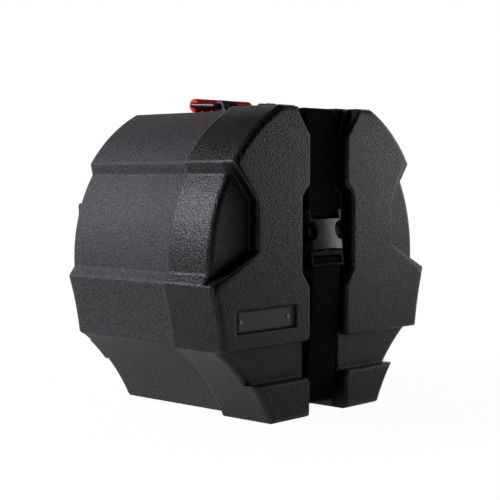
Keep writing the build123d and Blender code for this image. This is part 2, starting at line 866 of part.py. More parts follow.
# Sprung prongs of the male half, each with its side button
for name, hand in (("buckle_prong_left", -1), ("buckle_prong_right", 1)):
    with BuildPart() as prong:
        with BuildSketch(buckle_plane(-prong_front)):
            with Locations((hand * prong_x, (prong_root - prong_root_clearance + prong_arm_top) / 2)):
                Rectangle(2 * prong_arm_half, prong_arm_top - prong_root + prong_root_clearance)
            with Locations((hand * prong_button_x, prong_button_height)):
                Circle(prong_button_radius)
        extrude(amount=-prong_thickness)
    prong.part.label = name
    export_step(prong.part, f"parts/{name}.step")

# Blank plate in its pocket on the left block, and its two rivets
with BuildPart() as nameplate:
    with BuildSketch(upright(pocket_depth)):
        with Locations((plate_centre_x, plate_centre_height)):
            RectangleRounded(plate_width, plate_height, plate_round)
        with Locations(*plate_rivet_spots):
            Circle(plate_rivet_radius + hole_clearance, mode=Mode.SUBTRACT)
    extrude(amount=plate_thickness)
nameplate.part.label = "nameplate"
export_step(nameplate.part, "parts/nameplate.step")

with BuildPart() as nameplate_rivets:
    with BuildSketch(upright(pocket_depth - plate_thickness)):
        with Locations(*plate_rivet_spots):
            Circle(plate_rivet_head_radius)
    extrude(amount=plate_rivet_head_height)
    with BuildSketch(upright(pocket_depth - plate_thickness)):
        with Locations(*plate_rivet_spots):
            Circle(plate_rivet_radius)
    extrude(amount=-plate_thickness - wall)
nameplate_rivets.part.label = "nameplate_rivets"
export_step(nameplate_rivets.part, "parts/nameplate_rivets.step")

# Handle plate with its two bearing ears
with BuildPart() as handle_plate:
    with BuildSketch(level(base_top, handle_plate_front + handle_plate_length / 2)):
        RectangleRounded(2 * handle_plate_half_width, handle_plate_length, handle_plate_round)
    extrude(amount=handle_plate_thickness)
    for ear_start in (-ear_outer_x, ear_outer_x - ear_length):
        with BuildSketch(side(ear_start)):
            with BuildLine():
                Polyline(
                    (pivot_depth - ear_radius - ear_foot, handle_plate_top),
                    (pivot_depth + ear_radius, handle_plate_top),
                    (pivot_depth + ear_radius, pivot_height),
                    (pivot_depth - ear_radius, pivot_height),
                    close=True,
                )
            make_face()
            with Locations((pivot_depth, pivot_height)):
                Circle(ear_radius)
        extrude(amount=ear_length)
    with BuildSketch(side(-ear_outer_x)):
        with Locations((pivot_depth, pivot_height)):
            Circle(bail_radius + ear_bore_clearance)
    extrude(amount=2 * ear_outer_x, mode=Mode.SUBTRACT)
    with BuildSketch(level(pivot_height, pivot_depth)):
        with Locations((ear_length / 2 - ear_outer_x, 0), (ear_outer_x - ear_length / 2, 0)):
            Rectangle(ear_slot_length, ear_slot_width)
    extrude(amount=2 * ear_radius, mode=Mode.SUBTRACT)
    with BuildSketch(level(handle_plate_top, 0)):
        with Locations(*screw_spots):
            Circle(screw_radius + hole_clearance)
    extrude(amount=-handle_plate_thickness, mode=Mode.SUBTRACT)
handle_plate.part.label = "handle_plate"
export_step(handle_plate.part, "parts/handle_plate.step")

# Bent rod that swings in the ears
with BuildPart() as handle_bail:
    with BuildLine(bail_plane) as rod:
        FilletPolyline(
            (bail_end_gap / 2, 0),
            (bail_half_span, 0),
            (bail_half_span, arm_length),
            (-bail_half_span, arm_length),
            (-bail_half_span, 0),
            (-bail_end_gap / 2, 0),
            radius=bail_bend_radius,
        )
    with BuildSketch(Plane(origin=rod.wires()[0] @ 0, z_dir=rod.wires()[0] % 0)):
        Circle(bail_radius)
    sweep(path=rod.wires()[0])
handle_bail.part.label = "handle_bail"
export_step(handle_bail.part, "parts/handle_bail.step")

# Round grip moulded over the rod
with BuildPart() as handle_grip:
    with BuildSketch(side(-grip_half_length)):
        with Locations((grip_depth, grip_height)):
            Circle(grip_radius)
    extrude(amount=2 * grip_half_length)
    fillet(handle_grip.edges().filter_by(GeomType.CIRCLE), radius=grip_end_round)
    add(handle_bail.part, mode=Mode.SUBTRACT)
handle_grip.part.label = "handle_grip"
export_step(handle_grip.part, "parts/handle_grip.step")

# Coil springs on the rod's inner ends
wound = Vector(spring_turn_rise / pi, spring_radius, 0).normalized()
unwound = Vector(spring_turn_rise / pi, -spring_radius, 0).normalized()
bottom = Vector(spring_start_x, front_y + pivot_depth, pivot_height - spring_radius)
with BuildPart() as handle_spring_right:
    with BuildLine() as coil:
        Line(bottom - wound * spring_leg, bottom)
        for half_turn in range(spring_half_turns):
            start = bottom + Vector(spring_turn_rise * half_turn, 0, 2 * spring_radius * (half_turn % 2))
            end = start + Vector(spring_turn_rise, 0, 2 * spring_radius * (1 - 2 * (half_turn % 2)))
            if half_turn % 2 == 0:
                biarc(start, wound, end, unwound)
            else:
                biarc(start, unwound, end, wound)
        Line(end, end + unwound * spring_end)
    with BuildSketch(Plane(origin=coil.wires()[0] @ 0, z_dir=coil.wires()[0] % 0)):
        Circle(spring_wire_radius)
    sweep(path=coil.wires()[0])
handle_spring_right.part.label = "handle_spring_right"
export_step(handle_spring_right.part, "parts/handle_spring_right.step")
spring_gap = least_gap(coil.wires()[0], pi * spring_radius, 2 * spring_wire_radius)
print("least gap between turns of the handle springs", round(spring_gap, 3))

with BuildPart() as handle_spring_left:
    mirror(handle_spring_right.part, about=Plane.YZ)
handle_spring_left.part.label = "handle_spring_left"
export_step(handle_spring_left.part, "parts/handle_spring_left.step")

# Screws, backing plates and nuts that fasten the handle
with BuildPart() as handle_screws:
    with BuildSketch(level(handle_plate_top, 0)):
        with Locations(*screw_spots):
            Circle(screw_head_radius)
    extrude(amount=screw_head_height)
    with BuildSketch(level(handle_plate_top, 0)):
        with Locations(*screw_spots):
            Circle(screw_radius)
    extrude(amount=-(handle_plate_top - backing_bottom + nut_height + screw_end))
handle_screws.part.label = "handle_screws"
export_step(handle_screws.part, "parts/handle_screws.step")

with BuildPart() as handle_backing_plates:
    with BuildSketch(level(backing_bottom, 0)):
        with Locations((-backing_x, backing_depth), (backing_x, backing_depth)):
            Rectangle(backing_width, backing_length)
        with Locations(*screw_spots):
            Circle(screw_radius + hole_clearance, mode=Mode.SUBTRACT)
    extrude(amount=backing_thickness)
handle_backing_plates.part.label = "handle_backing_plates"
export_step(handle_backing_plates.part, "parts/handle_backing_plates.step")

with BuildPart() as handle_nuts:
    with BuildSketch(level(backing_bottom, 0)):
        with Locations(*screw_spots):
            RegularPolygon(nut_radius, 6)
            Circle(screw_radius + hole_clearance / 2, mode=Mode.SUBTRACT)
    extrude(amount=-nut_height)
handle_nuts.part.label = "handle_nuts"
export_step(handle_nuts.part, "parts/handle_nuts.step")
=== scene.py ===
from math import atan2, cos, pi, radians, sin, tan

import bmesh
import bpy
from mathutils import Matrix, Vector


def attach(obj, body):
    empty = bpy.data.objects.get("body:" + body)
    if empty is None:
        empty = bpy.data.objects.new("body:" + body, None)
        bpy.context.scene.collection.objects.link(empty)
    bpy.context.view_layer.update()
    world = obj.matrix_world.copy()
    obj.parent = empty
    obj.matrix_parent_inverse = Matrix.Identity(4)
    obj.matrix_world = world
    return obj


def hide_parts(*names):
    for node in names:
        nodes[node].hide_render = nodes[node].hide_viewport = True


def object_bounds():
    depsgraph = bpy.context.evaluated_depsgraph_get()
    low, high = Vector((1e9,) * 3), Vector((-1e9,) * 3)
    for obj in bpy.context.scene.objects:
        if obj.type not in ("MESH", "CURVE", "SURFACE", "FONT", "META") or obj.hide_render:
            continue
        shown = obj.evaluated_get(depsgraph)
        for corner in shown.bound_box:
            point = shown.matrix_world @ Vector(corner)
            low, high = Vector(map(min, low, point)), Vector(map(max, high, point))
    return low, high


# Drum case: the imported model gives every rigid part, and this script gives the finishes, the
# woven straps, the foam, the light and the camera. Lengths are in metres, apart from the camera's
# lens and sensor, which Blender takes in millimetres.
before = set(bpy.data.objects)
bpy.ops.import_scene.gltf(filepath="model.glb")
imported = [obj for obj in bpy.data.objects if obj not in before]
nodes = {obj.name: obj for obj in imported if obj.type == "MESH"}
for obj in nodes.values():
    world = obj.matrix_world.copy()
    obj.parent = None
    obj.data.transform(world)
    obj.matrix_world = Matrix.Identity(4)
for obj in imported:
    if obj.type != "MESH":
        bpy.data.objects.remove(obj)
cad_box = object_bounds()

MM = 0.001
FRONT_Y = cad_box[0][1]
TINY = 0.01 * MM
ROUND_PROFILE = 0.5

# Woven strap
STRAP_WIDTH = 50.4 * MM
STRAP_THICKNESS = 1.5 * MM
STRAP_EDGE_ROUND = 0.6 * MM
STRAP_EDGE_STEPS = 2
BORDER_SHARE = 0.499
RIB_PITCH = 2.05 * MM
RIB_RELIEF = 0.12
RINGS_PER_RIB = 4
ACROSS_STRAP = 8

# Strap line, as depths behind the front face and heights. It is the middle plane of the CAD strap,
# which is slightly thicker than the woven one.
CAD_STRAP_THICKNESS = 1.6 * MM
HALF_STRAP = CAD_STRAP_THICKNESS / 2
LAYER_GAP = 0.35 * MM
GROOVE_TO_STRAP = LAYER_GAP + HALF_STRAP
STRAP_TO_STRAP = LAYER_GAP + CAD_STRAP_THICKNESS
LID_DEPTH = 79 * MM
STRAP_OVERRUN = 7 * MM
BASE_STRAP_START = 26 * MM
BASE_STRAP_TOP = 355.135 * MM
BOTTOM_GROOVE = 14 * MM
REAR_GROOVE_DEPTH = 242 * MM
BASE_STRAP_BOTTOM = BOTTOM_GROOVE - GROOVE_TO_STRAP
REAR_STRAP_DEPTH = REAR_GROOVE_DEPTH + GROOVE_TO_STRAP
REAR_BEND = 6 * MM
LID_STRAP_TOP = BASE_STRAP_TOP + STRAP_TO_STRAP
FRONT_RISE = 2.5 * MM
LID_STRAP_HIGH = LID_STRAP_TOP + FRONT_RISE
LID_STRAP_BOTTOM = BASE_STRAP_BOTTOM - STRAP_TO_STRAP
FRONT_BEND_DEPTH = 50 * MM
TOP_CORNER_DEPTH = 15.9 * MM
LOW_CORNER_DEPTH = 14.9 * MM
FRONT_BEND = 5 * MM
LOW_BEND = 8 * MM
LOOP_BEND = 2.6 * MM

# Buckle's own frame: up along the strap, and out of the front
BUCKLE_LEAN = radians(7)
BUCKLE_DEPTH = 5.2 * MM
BUCKLE_HEIGHT = 206 * MM
CROSS_BAR_BOTTOM = 29.5 * MM
ARM_TOP = 35 * MM
SLIDE_BAR_TOP = -22 * MM
MALE_BOTTOM = -32.5 * MM
LOOP_ROOM = 2 * MM
STRAP_FRONT = -3.3 * MM
STRAP_BEHIND = -9.2 * MM
SEWN_END = 60 * MM
SEWN_LAYER = STRAP_FRONT - STRAP_TO_STRAP

# Foam lining
FOAM_EDGE_ROUND = 1.2 * MM
FOAM_EDGE_STEPS = 3
FLAT_ANGLE = radians(1)
RIM_ANGLE = radians(60)

# Camera, from the photograph's own perspective
CAMERA_PLACE = (-1.1532, -1.0604, 0.2828)
CAMERA_YAW = radians(47.496)
CAMERA_PITCH = radians(-3.454)
CAMERA_LENS = 90.77
SENSOR_WIDTH = 36

# Finish of the shells. A reach is how far a point looks for nearby surface, and a range is the
# span of a value over which one tone turns into the other.
SHELL_GLOSS = 0.25
SHELL_EDGE = 4.5 * MM
EDGE_SAMPLES = 6
# Proud edges are painted paler, towards the colour below: a painted highlight.
EDGE_REACH = 2.5 * MM
EDGE_RANGE = (0.5, 0.9)
EDGE_HIGHLIGHT_COLOUR = (0.05, 0.049, 0.052)
# Grooves and recesses are painted darker, down to a share of the pit colour: painted shade.
GROOVE_REACH = 12 * MM
GROOVE_RANGE = (0.4, 0.98)
PAINTED_GROOVE_SHADE = 0.3
DRIFTS_PER_CELL = 0.5
DRIFT_CELLS = 1.4
WRINKLES_PER_CELL = 2.0
PEBBLE_RANGE = (0.1, 0.8)
PEBBLE_SHARE = 0.6
WRINKLE_SHARE = 0.8
# The grain's pits are painted darker than its crests over this range of height: painted shade in the
# hollows.
CREST_RANGE = (0.55, 1.0)
PATCH_SCALE = 11
PATCH_RANGE = (0.35, 0.65)
SHELL_WEAR = (0.03, 0.04)

# Finish of the small moulded and metal parts
SKIN_SCALE = 2200
SKIN_RELIEF = 0.02 * MM
MOULDED_TONE_SCALE = 40
MOULDED_WEAR_SCALE = 90
MOULDED_SHADE = 0.85
MOULDED_RANGE = (0.3, 0.7)
MOULDED_WEAR = (0.05, 0.07)
BUCKLE_CROWN = 4
SCUFF_SCALE = 900
SCUFF_RELIEF = 0.01 * MM
SCUFF_RANGE = (0.3, 0.75)
SCUFF_ROUGHNESS = 0.7
METAL_TONE_SCALE = 60
METAL_SHADE = 0.8
METAL_RANGE = (0.35, 0.7)
METAL_WEAR = (0.06, 0.12)

# Finish of webbing and foam
WEBBING_COLOUR = (0.003, 0.003, 0.0035)
# Rib troughs and crests of the webbing: painted shade and painted highlight.
WEBBING_TROUGH_SHADE = (0.0004, 0.0004, 0.0005)
WEBBING_CREST_HIGHLIGHT = (0.009, 0.009, 0.01)
YARN_PITCH = 0.7 * MM
YARN_SHARE = 0.35
FUZZ_SCALE = 5200
FUZZ_SHARE = 0.9
BOLD_RIB_SHARE = 0.6
WEAVE_RANGE = (-1.4, 1.4)
WEAVE_RELIEF = 0.09 * MM
FOAM_COLOUR = (0.03, 0.03, 0.033)
FOAM_WALL = (0.02, 0.02, 0.022)
FOAM_PORE = (0.045, 0.045, 0.05)
FOAM_CELL_SCALE = 900
FOAM_CELL_RANGE = (0.1, 0.6)
FOAM_RELIEF = 0.4 * MM
FOAM_STRENGTH = 0.6

# Studio. A fade is the distance from the case where it starts and ends, and its value at the start.
WHITE = (1, 1, 1, 1)
FLOOR_REACH = 8
FLOOR_GREY = 0.6
FLOOR_GLOW = 1.04
FLOOR_FADE = (0.3, 1.0, 0.93)
MIRRORED_FADE = (0.25, 1.4, 0.4)
WORLD_LIGHT = 0.1
TENT_RADIUS = 3.2
TENT_HEIGHT = 2.0
TENT_OPENING = 1.2
TENT_SIDES = 48
TENT_GREY = 0.004

# Sockets of a Mix node that blends colours, by number because its socket names repeat
MIX_FIRST, MIX_SECOND, MIX_RESULT = 6, 7, 2


class NodeBench:
    """Material with its node tree, for wiring procedural finishes briefly."""

    def __init__(self, name, colour, roughness, metallic=0.0, **sockets):
        self.material = bpy.data.materials.new(name)
        self.material.use_nodes = True
        self.tree = self.material.node_tree
        self.shader = self.tree.nodes["Principled BSDF"]
        self.set_sockets(
            self.shader, {"Base Color": (*colour, 1), "Roughness": roughness, "Metallic": metallic}
        )
        self.set_sockets(self.shader, {key.replace("_", " "): value for key, value in sockets.items()})
        self.place = self.node("ShaderNodeTexCoord").outputs["Object"]

    @staticmethod
    def set_sockets(node, values):
        """Sets several sockets of a node by name."""
        for key, value in values.items():
            node.inputs[key].default_value = value

    def node(self, kind, inputs=None, links=None, **settings):
        """New node with its settings, socket values and incoming links."""
        node = self.tree.nodes.new(kind)
        for key, value in settings.items():
            setattr(node, key, value)
        self.set_sockets(node, inputs or {})
        for key, source in (links or {}).items():
            self.tree.links.new(source, node.inputs[key])
        return node

    def noise(self, scale, detail=2.0, place=None, roughness=0.5):
        """Noise height at a scale per metre."""
        return self.node(
            "ShaderNodeTexNoise",
            {"Scale": scale, "Detail": detail, "Roughness": roughness},
            {"Vector": place or self.place},
        ).outputs["Fac"]

    def remap(self, value, limits, reached=(0.0, 1.0)):
        """Value mapped from its limits to those reached, and held inside them."""
        return self.node(
            "ShaderNodeMapRange",
            {"From Min": limits[0], "From Max": limits[1], "To Min": reached[0], "To Max": reached[1]},
            {"Value": value},
        ).outputs["Result"]

    def math(self, operation, first, second=0.0):
        """Arithmetic on two values, each a socket or a number."""
        node = self.node("ShaderNodeMath", operation=operation)
        for socket, value in zip(node.inputs, (first, second)):
            if isinstance(value, (int, float)):
                socket.default_value = value
            else:
                self.tree.links.new(value, socket)
        return node.outputs["Value"]

    def blend_colours(self, factor, first, second):
        """Colour between two, each a socket or a colour, by a factor socket."""
        node = self.node("ShaderNodeMix", data_type="RGBA")
        self.tree.links.new(factor, node.inputs["Factor"])
        for index, colour in ((MIX_FIRST, first), (MIX_SECOND, second)):
            if isinstance(colour, (tuple, list)):
                node.inputs[index].default_value = (*colour, 1)
            else:
                self.tree.links.new(colour, node.inputs[index])
        return node.outputs[MIX_RESULT]

    def mottled(self, noise, limits, colour, shade):
        """Colour that drifts to a darker shade of itself with a noise."""
        return self.blend_colours(self.remap(noise, limits), [shade * c for c in colour], colour)

    def worn(self, noise, limits, roughness, wear):
        """Roughness that drifts with a noise, by a step down and a step up."""
        return self.remap(noise, limits, (roughness - wear[0], roughness + wear[1]))

    def relief(self, height, distance, strength=1.0, under=None):
        """Bump from a height socket, over an earlier normal if there is one."""
        links = {"Height": height}
        if under:
            links["Normal"] = under
        return self.node(
            "ShaderNodeBump", {"Distance": distance, "Strength": strength}, links
        ).outputs["Normal"]

    def crowned(self, crown):
        """Normal of a face that curves slightly across the case's width."""
        across = self.node("ShaderNodeSeparateXYZ", links={"Vector": self.place}).outputs["X"]
        fall = self.math("MULTIPLY", self.math("MULTIPLY", across, across), -crown)
        return self.relief(fall, distance=1.0)

    def eased_edges(self, radius):
        """Normal that turns softly over the edges."""
        return self.node(
            "ShaderNodeBevel", {"Radius": radius}, samples=EDGE_SAMPLES
        ).outputs["Normal"]

    def openness(self, reach, inside=False):
        """Share of open space round a point: low in grooves, or inside the wall low at proud edges."""
        return self.node(
            "ShaderNodeAmbientOcclusion",
            {"Distance": reach},
            samples=EDGE_SAMPLES,
            inside=inside,
            only_local=True,
        ).outputs["AO"]

    def finish(self, normal=None, colour=None, roughness=None):
        """Wires the finished sockets into the shader and returns the material."""
        for key, source in (("Normal", normal), ("Base Color", colour), ("Roughness", roughness)):
            if source:
                self.tree.links.new(source, self.shader.inputs[key])
        return self.material


def pebbled_shell(name, cell, depth, pit_shade, crest, roughness):
    """Moulded polyethylene with a pebble grain: its cell size and depth, its pits darkened as painted
    shade, paler crests; grooves get painted shade and proud edges a painted highlight.
    """
    bench = NodeBench(name, crest, roughness, Specular_IOR_Level=SHELL_GLOSS)
    drift = bench.node(
        "ShaderNodeTexNoise", {"Scale": DRIFTS_PER_CELL / cell, "Detail": 1.0}, {"Vector": bench.place}
    ).outputs["Color"]
    shift = bench.node(
        "ShaderNodeVectorMath", {"Scale": DRIFT_CELLS * cell}, {"Vector": drift}, operation="SCALE"
    ).outputs["Vector"]
    bent = bench.node(
        "ShaderNodeVectorMath", links={0: bench.place, 1: shift}, operation="ADD"
    ).outputs["Vector"]
    pebbles = bench.node(
        "ShaderNodeTexVoronoi",
        {"Scale": 1 / cell, "Smoothness": 0.5},
        {"Vector": bent},
        feature="SMOOTH_F1",
    ).outputs["Distance"]
    grain = bench.remap(pebbles, PEBBLE_RANGE, reached=(1.0, 0.0))
    wrinkles = bench.noise(WRINKLES_PER_CELL / cell, place=bent)
    height = bench.math(
        "ADD",
        bench.math("MULTIPLY", grain, PEBBLE_SHARE),
        bench.math("MULTIPLY", wrinkles, WRINKLE_SHARE),
    )
    # Grooves and recesses painted darker: painted shade.
    painted_groove_shade = bench.remap(bench.openness(GROOVE_REACH), GROOVE_RANGE, reached=(1.0, 0.0))
    # Proud edges painted paler: a painted highlight.
    painted_edge_highlight = bench.remap(bench.openness(EDGE_REACH, inside=True), EDGE_RANGE, reached=(1.0, 0.0))
    # Pits painted darker than crests: painted shade in the grain's hollows.
    colour = bench.blend_colours(bench.remap(height, CREST_RANGE), pit_shade, crest)
    colour = bench.blend_colours(painted_groove_shade, colour, [PAINTED_GROOVE_SHADE * c for c in pit_shade])
    colour = bench.blend_colours(painted_edge_highlight, colour, EDGE_HIGHLIGHT_COLOUR)
    rough = bench.worn(bench.noise(PATCH_SCALE, detail=4.0), PATCH_RANGE, roughness, SHELL_WEAR)
    normal = bench.relief(height, depth, under=bench.eased_edges(SHELL_EDGE))
    return bench.finish(normal, colour, rough)


def moulded(name, colour, roughness, gloss, crown=None):
    """Smooth moulded plastic with a faint skin texture, and a slight crown where one is given."""
    bench = NodeBench(name, colour, roughness, Specular_IOR_Level=gloss)
    face = bench.crowned(crown) if crown else None
    normal = bench.relief(bench.noise(SKIN_SCALE), SKIN_RELIEF, under=face)
    tone = bench.mottled(bench.noise(MOULDED_TONE_SCALE), MOULDED_RANGE, colour, MOULDED_SHADE)
    patches = bench.noise(MOULDED_WEAR_SCALE, detail=3.0)
    rough = bench.worn(patches, MOULDED_RANGE, roughness, MOULDED_WEAR)
    return bench.finish(normal, tone, rough)


def metal(name, colour, roughness, metallic=1.0, grain=SCUFF_SCALE, depth=SCUFF_RELIEF):
    """Metal or painted metal with slight unevenness and scuffs."""
    bench = NodeBench(name, colour, roughness, metallic)
    scuffs = bench.noise(grain, detail=4.0, roughness=SCUFF_ROUGHNESS)
    tone = bench.mottled(bench.noise(METAL_TONE_SCALE, detail=3.0), METAL_RANGE, colour, METAL_SHADE)
    rough = bench.worn(scuffs, SCUFF_RANGE, roughness, METAL_WEAR)
    return bench.finish(bench.relief(scuffs, depth), tone, rough)


def woven_webbing():
    """Black woven strap: crosswise ribs and fine lengthwise yarns, read along its UVs, with painted
    shade in the rib troughs and a painted highlight on the crests.
    """
    bench = NodeBench("woven_webbing", WEBBING_COLOUR, roughness=0.8, Specular_IOR_Level=0.06)
    weave = bench.node("ShaderNodeUVMap", uv_map="weave").outputs["UV"]
    split = bench.node("ShaderNodeSeparateXYZ", links={"Vector": weave})
    across, along = split.outputs["X"], split.outputs["Y"]
    ribs = bench.math("SINE", bench.math("MULTIPLY", along, 2 * pi / RIB_PITCH))
    bold = bench.math("SINE", bench.math("MULTIPLY", along, pi / RIB_PITCH))
    yarns = bench.math("SINE", bench.math("MULTIPLY", across, 2 * pi / YARN_PITCH))
    fuzz = bench.noise(FUZZ_SCALE, detail=3.0)
    height = bench.math("ADD", ribs, bench.math("MULTIPLY", yarns, YARN_SHARE))
    height = bench.math("ADD", height, bench.math("MULTIPLY", fuzz, FUZZ_SHARE))
    # Colour follows the ribs, darker in the troughs and paler on the crests: painted shade and painted
    # highlight.
    shade = bench.math("ADD", bench.math("MULTIPLY", bold, BOLD_RIB_SHARE), ribs)
    colour = bench.blend_colours(bench.remap(shade, WEAVE_RANGE), WEBBING_TROUGH_SHADE, WEBBING_CREST_HIGHLIGHT)
    return bench.finish(bench.relief(height, WEAVE_RELIEF), colour)


def lining_foam():
    """Open-cell foam, dark grey."""
    bench = NodeBench("lining_foam", FOAM_COLOUR, roughness=0.95)
    cells = bench.node(
        "ShaderNodeTexVoronoi", {"Scale": FOAM_CELL_SCALE}, {"Vector": bench.place}
    ).outputs["Distance"]
    colour = bench.blend_colours(bench.remap(cells, FOAM_CELL_RANGE), FOAM_PORE, FOAM_WALL)
    return bench.finish(bench.relief(cells, FOAM_RELIEF, FOAM_STRENGTH), colour)


def dress(material, *names):
    """Gives CAD parts a material."""
    for name in names:
        nodes[name].data.materials.clear()
        nodes[name].data.materials.append(material)


def in_buckle(up, out):
    """Depth and height of a point given along and out of the leaning buckle."""
    return Vector((
        BUCKLE_DEPTH + sin(BUCKLE_LEAN) * up - cos(BUCKLE_LEAN) * out,
        BUCKLE_HEIGHT + cos(BUCKLE_LEAN) * up + sin(BUCKLE_LEAN) * out,
    ))


def strap_stretches(points, bends):
    """Runs and bends of a strap line: each is its length, start, heading and curvature."""
    stretches = []
    start = Vector(points[0])
    for index in range(1, len(points)):
        corner = Vector(points[index])
        heading = corner - start
        angle = atan2(heading.y, heading.x)
        if index == len(points) - 1:
            stretches.append((heading.length, start, angle, 0.0))
            break
        onward = Vector(points[index + 1]) - corner
        turn = (atan2(onward.y, onward.x) - angle + pi) % (2 * pi) - pi
        radius = bends[index - 1]
        cut = radius * tan(abs(turn) / 2)
        stretches.append((heading.length - cut, start, angle, 0.0))
        bend_start = corner - heading.normalized() * cut
        curvature = (1 if turn > 0 else -1) / radius
        stretches.append((abs(turn) * radius, bend_start, angle, curvature))
        start = corner + onward.normalized() * cut
    return stretches


def along_strap(stretches, distance, out):
    """Depth and height of a point at a distance along the strap and out of its middle plane."""
    index = 0
    while index < len(stretches) - 1 and distance > stretches[index][0]:
        distance -= stretches[index][0]
        index += 1
    _, start, angle, curvature = stretches[index]
    if curvature:
        end = angle + curvature * distance
        place = start + Vector((sin(end) - sin(angle), cos(angle) - cos(end))) / curvature
    else:
        end = angle
        place = start + Vector((cos(angle), sin(angle))) * distance
    return place + Vector((-sin(end), cos(end))) * out


def is_border(edge):
    """Whether an edge of the flat strap runs along one of its long borders."""
    first, second = (vert.co for vert in edge.verts)
    runs_along = abs(first.y - second.y) > TINY
    return runs_along and min(abs(first.x), abs(second.x)) > BORDER_SHARE * STRAP_WIDTH


def to_object(bm, name):
    """New object at the origin that holds a finished bmesh."""
    mesh = bpy.data.meshes.new(name)
    bm.to_mesh(mesh)
    bm.free()
    piece = bpy.data.objects.new(name, mesh)
    bpy.context.collection.objects.link(piece)
    return piece


def strap(name, node, body, points, bends):
    """Ribbed webbing laid along a strap line in place of its CAD solid."""
    stretches = strap_stretches(points, bends)
    total = sum(length for length, *_ in stretches)
    rings = int(total / RIB_PITCH * RINGS_PER_RIB)
    bm = bmesh.new()
    bmesh.ops.create_grid(bm, x_segments=ACROSS_STRAP, y_segments=rings, size=0.5)
    bmesh.ops.scale(bm, vec=(STRAP_WIDTH, total, 1), verts=bm.verts)
    bmesh.ops.translate(bm, vec=(0, total / 2, STRAP_THICKNESS / 2), verts=bm.verts)
    bmesh.ops.solidify(bm, geom=bm.faces[:], thickness=STRAP_THICKNESS)
    borders = [e for e in bm.edges if is_border(e)]
    bmesh.ops.bevel(
        bm, geom=borders, offset=STRAP_EDGE_ROUND, segments=STRAP_EDGE_STEPS,
        profile=ROUND_PROFILE, affect="EDGES", material=-1,
    )
    bmesh.ops.recalc_face_normals(bm, faces=bm.faces)
    weave = bm.loops.layers.uv.new("weave")
    for face in bm.faces:
        for loop in face.loops:
            loop[weave].uv = loop.vert.co.xy
    for vert in bm.verts:
        rib = 1 + RIB_RELIEF * sin(2 * pi * vert.co.y / RIB_PITCH)
        place = along_strap(stretches, vert.co.y, vert.co.z * rib)
        vert.co = (vert.co.x, FRONT_Y + place.x, place.y)
    piece = to_object(bm, name)
    for polygon in piece.data.polygons:
        polygon.use_smooth = True
    piece.data.materials.append(webbing)
    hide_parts(node)
    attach(piece, body)


def foam_piece(name, node, body):
    """Soft foam lining: the CAD solid's own outline with eased rims."""
    bm = bmesh.new()
    bm.from_mesh(nodes[node].data)
    bmesh.ops.remove_doubles(bm, verts=bm.verts, dist=TINY)
    bmesh.ops.dissolve_limit(bm, angle_limit=FLAT_ANGLE, verts=bm.verts, edges=bm.edges)
    rims = [e for e in bm.edges if len(e.link_faces) == 2 and e.calc_face_angle() > RIM_ANGLE]
    bmesh.ops.bevel(
        bm, geom=rims, offset=FOAM_EDGE_ROUND, segments=FOAM_EDGE_STEPS, profile=ROUND_PROFILE,
        affect="EDGES", material=-1, clamp_overlap=True,
    )
    piece = to_object(bm, name)
    piece.data.materials.append(foam)
    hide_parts(node)
    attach(piece, body)


# Finishes
lid_plastic = pebbled_shell(
    "lid_plastic",
    cell=2.0 * MM,
    depth=0.45 * MM,
    # pit colour: painted shade in the grain's hollows
    pit_shade=(0.003, 0.003, 0.003),
    crest=(0.026, 0.025, 0.026),
    roughness=0.31,
)
base_plastic = pebbled_shell(
    "base_plastic",
    cell=1.7 * MM,
    depth=0.55 * MM,
    # pit colour: painted shade in the grain's hollows
    pit_shade=(0.014, 0.014, 0.014),
    crest=(0.072, 0.07, 0.073),
    roughness=0.45,
)
webbing = woven_webbing()
foam = lining_foam()
buckle_plastic = moulded(
    "buckle_plastic", (0.03, 0.03, 0.033), roughness=0.36, gloss=0.35, crown=BUCKLE_CROWN
)
slide_plastic = moulded("slide_plastic", (0.003, 0.003, 0.004), roughness=0.3, gloss=0.07)
plate_black = metal("plate_black", (0.014, 0.014, 0.016), roughness=0.38, metallic=0.0)
rivet_black = metal("rivet_black", (0.14, 0.14, 0.145), roughness=0.26, metallic=0.9)
handle_grey = metal("handle_grey", (0.03, 0.03, 0.032), roughness=0.5, metallic=0.2)
rod_gloss_black = metal(
    "rod_gloss_black", (0.008, 0.008, 0.009), roughness=0.32, metallic=0.0, grain=40, depth=0.0
)
grip_red = moulded("grip_red", (1.0, 0.03, 0.006), roughness=0.5, gloss=0.08)
spring_black = metal("spring_black", (0.02, 0.02, 0.021), roughness=0.32, metallic=0.3)
dark_zinc = metal("dark_zinc", (0.12, 0.12, 0.125), roughness=0.35)

dress(lid_plastic, "lid_shell")
dress(base_plastic, "base_shell")
dress(buckle_plastic, "buckle_female")
dress(slide_plastic, "buckle_male", "buckle_prong_left", "buckle_prong_right")
dress(plate_black, "nameplate", "strap_anchor_plate")
dress(rivet_black, "nameplate_rivets", "strap_anchor_rivets", "strap_anchor_washers")
dress(handle_grey, "handle_plate", "handle_backing_plates")
dress(rod_gloss_black, "handle_bail")
dress(grip_red, "handle_grip")
dress(spring_black, "handle_spring_left", "handle_spring_right")
dress(dark_zinc, "handle_screws", "handle_nuts")

